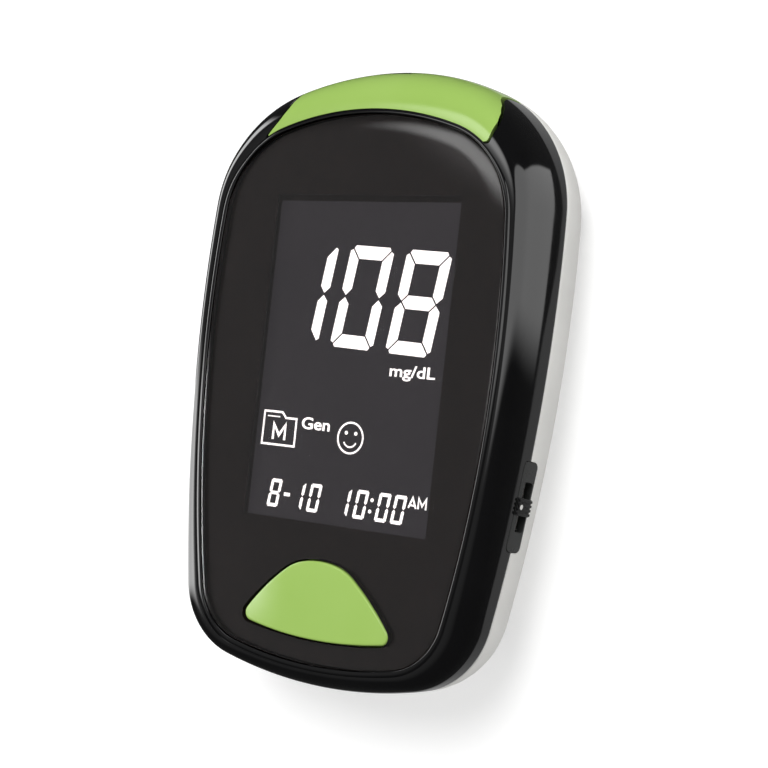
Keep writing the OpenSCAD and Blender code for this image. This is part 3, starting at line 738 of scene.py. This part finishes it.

# A painted highlight: a thin white disc on the knob, where its ridge would catch the light
paintedKnobHighlight = prisms("paintedKnobHighlight", [circle((0, 0), sideSwitch["highlightRadius"], 32)], 0, sideSwitch["highlightThick"])
highlightPlace = Matrix.Translation((sideSwitch["highlightOut"] * mm, 0, sideSwitch["highlightUp"] * mm))
paintedKnobHighlight.data.transform(sideFrame() @ highlightPlace @ ontoWall)


# ---- materials

def linear(hexColour):
    def one(v):
        v = int(v, 16) / 255
        return v / 12.92 if v <= 0.04045 else ((v + 0.055) / 1.055) ** 2.4
    return (one(hexColour[1:3]), one(hexColour[3:5]), one(hexColour[5:7]), 1)


# Adds a node with its settings and links; settings name sockets or properties
def addNode(tree, kind, settings=None, links=None):
    node = tree.nodes.new(kind)
    for key, value in (settings or {}).items():
        if isinstance(key, int) or key in node.inputs:
            node.inputs[key].default_value = value
        else:
            setattr(node, key, value)
    for key, source in (links or {}).items():
        tree.links.new(source, node.inputs[key])
    return node


def emptyMaterial(name):
    material = bpy.data.materials.new(name)
    material.use_nodes = True
    material.node_tree.nodes.clear()
    return material, material.node_tree


# A material with its shader; returns them with the place on the object, in metres
def startMaterial(name, settings):
    material, tree = emptyMaterial(name)
    shader = addNode(tree, "ShaderNodeBsdfPrincipled", settings)
    addNode(tree, "ShaderNodeOutputMaterial", links={"Surface": shader.outputs[0]})
    place = addNode(tree, "ShaderNodeTexCoord").outputs["Object"]
    return material, tree, shader, place


# Colour that drifts between two tones in patches of a size in mm
def driftColour(tree, shader, place, tones, patch):
    noise = addNode(tree, "ShaderNodeTexNoise", {"Scale": 1000 / patch, "Detail": 3.0}, {"Vector": place})
    ramp = addNode(tree, "ShaderNodeValToRGB", links={"Fac": noise.outputs["Fac"]})
    for element, stop, tone in zip(ramp.color_ramp.elements, (0.35, 0.65), tones):
        element.position, element.color = stop, linear(tone)
    tree.links.new(ramp.outputs["Color"], shader.inputs["Base Color"])


# Roughness over a range, as a noise drifts
def roughnessFrom(tree, shader, noise, low, high):
    spread = addNode(tree, "ShaderNodeMapRange", {
        "From Min": 0.3, "From Max": 0.7, "To Min": low, "To Max": high}, {"Value": noise.outputs["Fac"]})
    tree.links.new(spread.outputs["Result"], shader.inputs["Roughness"])


def driftRoughness(tree, shader, place, low, high, patch):
    noise = addNode(tree, "ShaderNodeTexNoise", {"Scale": 1000 / patch, "Detail": 4.0}, {"Vector": place})
    roughnessFrom(tree, shader, noise, low, high)


# Relief of a depth in mm from a pattern's value
def relief(tree, shader, value, depth):
    bump = addNode(tree, "ShaderNodeBump", {"Strength": 1.0, "Distance": depth * mm}, {"Height": value})
    tree.links.new(bump.outputs["Normal"], shader.inputs["Normal"])


# Plastic or rubber from a mould: two close tones, a roughness range, the skin's grain and its depth in mm
def mouldedPlastic(name, tones, roughness, grain, depth, ior=1.5, patch=14):
    material, tree, shader, place = startMaterial(name, {"IOR": ior})
    driftColour(tree, shader, place, tones, patch)
    driftRoughness(tree, shader, place, *roughness, patch / 3)
    noise = addNode(tree, "ShaderNodeTexNoise", {"Scale": 1000 / grain, "Detail": 2.0}, {"Vector": place})
    relief(tree, shader, noise.outputs["Fac"], depth)
    return material


# Sheet or turned metal: fine marks along one axis, 0.15 mm apart, drawn as 0.3 mm
def workedMetal(name, tones, roughness, along="x"):
    material, tree, shader, place = startMaterial(name, {"Metallic": 1.0})
    driftColour(tree, shader, place, tones, 3)
    stretch = {"x": (0.08, 1, 1), "y": (1, 0.08, 1), "z": (1, 1, 0.08)}[along]
    pulled = addNode(tree, "ShaderNodeMapping", {"Scale": stretch}, {"Vector": place})
    noise = addNode(tree, "ShaderNodeTexNoise", {"Scale": 1000 / 0.3, "Detail": 2.0},
                    {"Vector": pulled.outputs[0]})
    roughnessFrom(tree, shader, noise, *roughness)
    relief(tree, shader, noise.outputs["Fac"], 0.002)
    return material


# Piano-black ABS from a polished mould: deep black, a mirror skin with slow flow waves
pianoBlack = mouldedPlastic("pianoBlackAbs", ("#0b0b0c", "#0e0e0f"), (0.045, 0.075), 7, 0.0006, 1.53)
# Lime ABS from a polished mould: full even colour under a clear gloss
limeGloss = mouldedPlastic("limeGlossAbs", ("#a5cb64", "#a9ce69"), (0.1, 0.16), 6, 0.0008, 1.5)
# White ABS with a spark-eroded skin of 0.1 mm grain, drawn at 0.35 mm to show
whiteSatin = mouldedPlastic("whiteSatinAbs", ("#eeede9", "#f4f3ef"), (0.34, 0.46), 0.35, 0.006, 1.5)
darkPlate = mouldedPlastic("darkSatinAbs", ("#2c2d2c", "#323332"), (0.24, 0.34), 0.35, 0.005)
blackKnob = mouldedPlastic("blackAcetal", ("#101011", "#161617"), (0.22, 0.34), 0.4, 0.004, 1.48)
greyKnob = mouldedPlastic("greyAcetal", ("#3c3d40", "#434448"), (0.3, 0.42), 0.4, 0.004, 1.48)
frameWhite = mouldedPlastic("whitePolycarbonate", ("#e0e1df", "#e8e9e6"), (0.3, 0.4), 0.5, 0.004, 1.58)
lightGuide = mouldedPlastic("milkyAcrylic", ("#eef0ee", "#f6f7f5"), (0.12, 0.2), 1.2, 0.002, 1.49)
blackRubber = mouldedPlastic("siliconeRubber", ("#1b1b1b", "#232323"), (0.6, 0.75), 0.4, 0.008, 1.43)
blackFoam = mouldedPlastic("closedCellFoam", ("#121212", "#1c1c1c"), (0.85, 0.95), 0.3, 0.03, 1.5, 2)
chipBlack = mouldedPlastic("epoxyMould", ("#1c1d1f", "#242527"), (0.55, 0.68), 0.2, 0.006, 1.55, 3)
ivoryPlastic = mouldedPlastic("ivoryNylon", ("#e3dfd2", "#ebe7da"), (0.38, 0.5), 0.6, 0.004, 1.53)
ceramicTan = mouldedPlastic("firedCeramic", ("#a98f67", "#bca37b"), (0.5, 0.62), 0.3, 0.004, 1.6, 1)
labelFilm = mouldedPlastic("silverPolyester", ("#cfd1d2", "#d8dadb"), (0.32, 0.4), 1.5, 0.001, 1.6)
canSteel = workedMetal("drawnCan", ("#b9bbbd", "#c8cacc"), (0.22, 0.34), "y")
switchSteel = workedMetal("stampedSteel", ("#a6a9ad", "#b6b9bc"), (0.25, 0.4))
springNickel = workedMetal("nickelSpringSteel", ("#bdbcb7", "#cfcec9"), (0.2, 0.32), "z")
contactGold = workedMetal("goldFlash", ("#d4ab55", "#e0ba68"), (0.16, 0.26), "y")
zincScrew = workedMetal("zincPlatedSteel", ("#9a9da0", "#b2b5b8"), (0.28, 0.42), "z")


# Smoked cast acrylic: a clear sheet that darkens what lies under it a little
def smokedAcrylic():
    material, tree, shader, place = startMaterial("smokedAcrylic", {
        "IOR": 1.49, "Transmission Weight": 1.0, "Base Color": linear("#f4efee")})
    driftRoughness(tree, shader, place, 0.0, 0.015, 9)
    return material


# Black screen ink on the lens's back, a warm black; it touches the sheet, so it has no gloss of its own
def screenInk():
    material, tree, shader, place = startMaterial("screenInk", {"IOR": 1.5, "Specular IOR Level": 0.03})
    driftColour(tree, shader, place, ("#1a1514", "#1c1716"), 20)
    driftRoughness(tree, shader, place, 0.5, 0.6, 8)
    return material


printInk = screenInk()


# Glass over dark liquid crystal: it glows faintly with the light panel, and its film kills gloss
def displayGlass():
    material, tree, shader, place = startMaterial("liquidCrystalGlass", {
        "IOR": 1.52, "Specular IOR Level": 0.1,
        "Emission Color": linear("#4a484e"), "Emission Strength": 0.3})
    driftColour(tree, shader, place, ("#1e1d20", "#232225"), 20)
    driftRoughness(tree, shader, place, 0.2, 0.26, 8)
    return material


# Segments that let the white light panel through
def litSegment():
    material, tree, shader, place = startMaterial("litSegment", {
        "IOR": 1.5, "Base Color": linear("#f2f2f2"),
        "Emission Color": (1, 1, 1, 1), "Emission Strength": 1.1})
    driftRoughness(tree, shader, place, 0.4, 0.5, 6)
    return material


# Green solder mask over copper tracks: gloss lacquer, paler where it runs over copper
def boardMask():
    material, tree, shader, place = startMaterial("solderMask", {"IOR": 1.52})
    cells = addNode(tree, "ShaderNodeTexBrick", {
        "Color1": linear("#1d5a34"), "Color2": linear("#226440"), "Mortar": linear("#174a2b"),
        "Scale": 260.0, "Mortar Size": 0.01, "offset": 0.5}, {"Vector": place})
    tree.links.new(cells.outputs["Color"], shader.inputs["Base Color"])
    driftRoughness(tree, shader, place, 0.25, 0.38, 4)
    relief(tree, shader, cells.outputs["Fac"], 0.01)
    return material


# Layers of black and pink rubber, 0.1 mm each, drawn as 0.5 mm
def layeredRubber():
    material, tree, shader, place = startMaterial("zebraRubber", {"IOR": 1.43})
    wave = addNode(tree, "ShaderNodeTexWave", {"Scale": 2000 / 6.2832, "bands_direction": "X"},
                   {"Vector": place})
    ramp = addNode(tree, "ShaderNodeValToRGB", links={"Fac": wave.outputs["Fac"]})
    ramp.color_ramp.elements[0].color = linear("#2a2422")
    ramp.color_ramp.elements[1].color = linear("#c9a59c")
    tree.links.new(ramp.outputs["Color"], shader.inputs["Base Color"])
    driftRoughness(tree, shader, place, 0.5, 0.6, 2)
    return material


# A cell in a shrunk printed film: grey with a copper-coloured band at one end
def cellSleeve(way):
    material, tree, shader, place = startMaterial("shrunkFilm", {"IOR": 1.55})
    split = addNode(tree, "ShaderNodeSeparateXYZ", links={"Vector": place})
    low, high = bay["y"]
    along = addNode(tree, "ShaderNodeMapRange", {"From Min": low * mm, "From Max": high * mm},
                    {"Value": split.outputs["Y"]})
    ramp = addNode(tree, "ShaderNodeValToRGB", links={"Fac": along.outputs["Result"]})
    ramp.color_ramp.interpolation = "CONSTANT"
    ends = [("#3a3d42", 0.0), ("#a87544", 0.72)] if way > 0 else [("#a87544", 0.0), ("#3a3d42", 0.28)]
    for element, (tone, stop) in zip(ramp.color_ramp.elements, ends):
        element.color, element.position = linear(tone), stop
    tree.links.new(ramp.outputs["Color"], shader.inputs["Base Color"])
    shader.inputs["Metallic"].default_value = 0.5
    driftRoughness(tree, shader, place, 0.2, 0.3, 5)
    return material


acrylic, glass, segment = smokedAcrylic(), displayGlass(), litSegment()
solderMask, zebra = boardMask(), layeredRubber()


def dress(piece, material):
    piece.data.materials.clear()
    piece.data.materials.append(material)


# Each new piece: its material, body, slot and the CAD nodes it stands for
pieceTable = [
    (frontShell, pianoBlack, "case", "black_gloss", ["front_shell"]),
    (topFascia, limeGloss, "case", "green_gloss", ["top_fascia"]),
    (displayLens, acrylic, "case", "smoked_lens", ["display_lens"]),
    (lensPrint, printInk, "case", "smoked_lens", []),
    (displayBorder, printInk, "case", "lcd_glass", []),
    (mainButton, limeGloss, "main_button_body", "green_gloss", ["main_button"]),
    (rearCover, whiteSatin, "case", "white_satin", ["rear_cover"]),
    # the knob's white disc is a painted highlight
    (paintedKnobHighlight, whiteSatin, "side_slider", "knob_black", []),
] + [(piece, segment, "case", "lcd_glass", []) for piece in displayPieces]
for piece, material, body, slotName, stands in pieceTable:
    dress(piece, material)
    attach(piece, body)
    if stands:
        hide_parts(*stands)

displayLens.data.materials.append(printInk)    # inked on its rim and in the button's hole
displayLens.data.polygons.foreach_set("material_index", np.array(inked, np.int32))

nodeFinish = {
    "lens_tape": blackFoam, "switch_plunger": blackRubber, "main_switch": switchSteel,
    "lcd_gasket": blackFoam, "lcd_glass": glass, "lcd_frame": frameWhite,
    "backlight_panel": lightGuide, "backlight_leds": lightGuide, "elastomer_connector": zebra,
    "main_pcb": solderMask, "processor_chip": chipBlack, "amplifier_chip": chipBlack,
    "memory_chip": chipBlack, "crystal": canSteel, "chip_parts": ceramicTan, "buzzer": chipBlack,
    "strip_connector": ivoryPlastic, "strip_contacts": contactGold, "side_plate": darkPlate,
    "slide_knob": blackKnob, "slide_switch": switchSteel, "battery_door": whiteSatin,
    "left_battery": cellSleeve(1), "right_battery": cellSleeve(-1),
    "positive_contact": springNickel, "negative_contact": springNickel, "bridge_contact": springNickel,
    "set_button": greyKnob, "set_switch": switchSteel, "case_screws": zincScrew,
    "pcb_screws": zincScrew, "rating_label": labelFilm,
}
for name, material in nodeFinish.items():
    dress(nodes[name], material)
softNodes = {"side_plate": 0.12, "slide_knob": 0.1, "battery_door": 0.15, "set_button": 0.2,
             "case_screws": 0.08}    # how far each one's edges are rounded, in mm
for name, width in softNodes.items():
    softEdges(nodes[name], width, 3, 30, weld=True)
print("materials")


# ---- camera, floor, lamps and the cards that gloss reflects

# Fitted to the photograph's outlines; right and down are the picture's own, the place is in metres
cameraFit = {"lens": 79.7, "sensor": 36, "place": (0.15499, -0.00837, 0.23025),
             "right": (0.8122, 0.1084, -0.5732), "down": (0.0722, -0.9937, -0.0855)}


def placeCamera():
    data = bpy.data.cameras.new("camera")
    data.lens, data.sensor_width = cameraFit["lens"], cameraFit["sensor"]
    camera = bpy.data.objects.new("camera", data)
    bpy.context.scene.collection.objects.link(camera)
    right, down = Vector(cameraFit["right"]), Vector(cameraFit["down"])
    forward = right.cross(down).normalized()
    right = down.cross(forward).normalized()
    turned = Matrix((right, -down.normalized(), -forward)).transposed()
    camera.matrix_world = Matrix.Translation(cameraFit["place"]) @ turned.to_4x4()
    bpy.context.scene.camera = camera


placeCamera()
bpy.context.scene.view_settings.view_transform = "Standard"

studio = {
    "ambient": 0.57, "floorTone": "#e6e6e6", "floorLift": 0.42, "floorReach": 1500,
    "sun": 1.75, "sunSpread": 30, "sunWay": (-0.15, -0.45, -0.88),
    "sphere": 600,           # radius of the surroundings that gloss mirrors, in mm
    # they are a dark room with a wide window at the right and overhead, its edges in degrees
    "room": 0.05, "window": 2.25, "windowFrom": 4, "windowTo": 42, "windowLean": 73.5,
    "fromSoft": (-2, 4), "toSoft": (-0.8, 0.8), "lowBend": 0.0052,
    "mirrorReach": 0.655,    # mm of floor mirrored by an upright wall for each mm of height
    # strips at the left: azimuths, elevations and strength
    "strips": [(179, 195, -64, 44, 7.5), (146, 179, 8, 26, 10)],
    # soft patches: azimuth, elevation, reach and strength
    "patches": [(178, 52, 36, 0.2), (137, 57, 12, 4.0)],
}


# One where a camera, glossy or transmission ray looks
def seenByView(tree):
    path = addNode(tree, "ShaderNodeLightPath")
    first = addNode(tree, "ShaderNodeMath", {"operation": "MAXIMUM"},
                    {0: path.outputs["Is Camera Ray"], 1: path.outputs["Is Glossy Ray"]})
    return addNode(tree, "ShaderNodeMath", {"operation": "MAXIMUM"},
                   {0: first.outputs[0], 1: path.outputs["Is Transmission Ray"]}).outputs[0]


def lightWorld():
    world = bpy.data.worlds.new("studioWorld")
    bpy.context.scene.world = world
    world.use_nodes = True
    tree = world.node_tree
    tree.nodes.clear()
    strength = addNode(tree, "ShaderNodeMapRange", {"To Min": studio["ambient"], "To Max": 1.0},
                       {"Value": seenByView(tree)})
    back = addNode(tree, "ShaderNodeBackground", links={"Strength": strength.outputs["Result"]})
    addNode(tree, "ShaderNodeOutputWorld", links={"Surface": back.outputs[0]})


lightWorld()


def floorMaterial():
    material, tree = emptyMaterial("matteFloor")
    matte = addNode(tree, "ShaderNodeBsdfDiffuse", {"Color": linear(studio["floorTone"])})
    lift = addNode(tree, "ShaderNodeMath", {"operation": "MULTIPLY", 1: studio["floorLift"]},
                   {0: seenByView(tree)})
    glow = addNode(tree, "ShaderNodeEmission", links={"Strength": lift.outputs[0]})
    both = addNode(tree, "ShaderNodeAddShader", links={0: matte.outputs[0], 1: glow.outputs[0]})
    addNode(tree, "ShaderNodeOutputMaterial", links={"Surface": both.outputs[0]})
    return material


floorSpan = (-studio["floorReach"], studio["floorReach"])
floor = prisms("floor", [rectangle(floorSpan, floorSpan)], -1, 0)
dress(floor, floorMaterial())
floor.visible_glossy = False    # gloss shows the room in its place


def addSun():
    data = bpy.data.lights.new("softSun", "SUN")
    data.energy, data.angle = studio["sun"], math.radians(studio["sunSpread"])
    sun = bpy.data.objects.new("softSun", data)
    sun.rotation_euler = Vector(studio["sunWay"]).to_track_quat("-Z", "Y").to_euler()
    bpy.context.scene.collection.objects.link(sun)
    sun.visible_glossy = False


addSun()


# Rises smoothly from 0 to 1 between two values
def fade(value, low, high):
    share = np.clip((value - low) / (high - low), 0, 1)
    return share * share * (3 - 2 * share)


# A direction from the middle of the set
def towards(azimuth, elevation):
    a, h = np.radians(azimuth), np.radians(elevation)
    return np.stack([np.cos(h) * np.cos(a), np.cos(h) * np.sin(a), np.sin(h) + 0 * a], -1)


# How bright the surroundings are in a direction, for gloss only
def glowAt(azimuth, elevation):
    way = towards(azimuth, elevation)
    upright = towards(studio["windowFrom"] + 90, 0)
    leaning = np.cross(towards(studio["windowTo"], 0), towards(studio["windowTo"] + 90, studio["windowLean"]))
    insideFrom = np.degrees(np.arcsin(np.clip(way @ upright, -1, 1)))
    insideTo = np.where(elevation > 0, np.degrees(np.arcsin(np.clip(way @ leaning, -1, 1))),
                        studio["windowTo"] + studio["lowBend"] * elevation ** 2 - azimuth)
    window = fade(insideFrom, *studio["fromSoft"]) * fade(insideTo, *studio["toSoft"])
    dimmer = 0.45 + 0.55 * fade(elevation, -70, -10)    # towards the floor
    glow = studio["room"] + studio["window"] * window * dimmer
    for a0, a1, h0, h1, strength in studio["strips"]:    # brighter towards their upper ends
        across = np.minimum(azimuth % 360 - a0, a1 - azimuth % 360)
        within = np.minimum(elevation - h0, h1 - elevation)
        glow = glow + strength * np.exp((elevation - 40) / 45) * fade(across, -3, 3) * fade(within, -3, 3)
    for a, h, reach, strength in studio["patches"]:
        away = np.degrees(np.arccos(np.clip(way @ towards(a, h), -1, 1)))
        glow = glow + strength * fade(-away, -reach, -reach * 0.35)
    return glow


# A sphere round the set that only gloss and the lens see
def reflectionSphere(name):
    azimuths, elevations = np.arange(-180.0, 181), np.arange(-90.0, 91, 1.5)
    columns, rows = len(azimuths), len(elevations)
    azimuth, elevation = [v.ravel() for v in np.meshgrid(azimuths, elevations)]
    faces = [(r * columns + c, r * columns + c + 1, (r + 1) * columns + c + 1, (r + 1) * columns + c)
             for r in range(rows - 1) for c in range(columns - 1)]
    mesh = bpy.data.meshes.new(name)
    mesh.from_pydata((towards(azimuth, elevation) * studio["sphere"] * mm).tolist(), [], faces)
    shade = mesh.attributes.new("glow", "FLOAT", "POINT")
    shade.data.foreach_set("value", glowAt(azimuth, elevation).astype(np.float32))
    card = bpy.data.objects.new(name, mesh)
    bpy.context.scene.collection.objects.link(card)
    material, tree = emptyMaterial(name + "Glow")
    value = addNode(tree, "ShaderNodeAttribute", {"attribute_name": "glow"})
    glow = addNode(tree, "ShaderNodeEmission", links={"Strength": value.outputs["Fac"]})
    addNode(tree, "ShaderNodeOutputMaterial", links={"Surface": glow.outputs[0]})
    asCard(card, material)


def asCard(card, material):
    dress(card, material)
    for kind in ("camera", "diffuse", "shadow", "volume_scatter"):
        setattr(card, "visible_" + kind, False)


# The floor close by the body, which the upright foot of its walls mirrors from the parting line up to a
# height over it, and up to another height towards the upper end
def floorCard(name, up, upFar, low, strength):
    y = outlineAt(case["outline"], 0, evenColumns)[:, 1]
    height = partingAt(y) + up + (upFar - up) * fade(y, 5, 24)
    reach = height * studio["mirrorReach"]
    card = prisms(name, [outlineAt(case["outline"], reach, evenColumns).tolist()], low, low + 0.1)
    material, tree = emptyMaterial(name + "Shade")
    glow = addNode(tree, "ShaderNodeEmission", {"Strength": strength})
    addNode(tree, "ShaderNodeOutputMaterial", links={"Surface": glow.outputs[0]})
    asCard(card, material)


reflectionSphere("room")
# Painted shadow: a dark ring round the body, which gloss sees where the floor lies in the body's shade
floorCard("floorShadowRing", 2.4, 2.4, 0.2, 0.05)
floorCard("nearFloor", 1.0, -0.6, 0.4, 0.4)
print("studio")
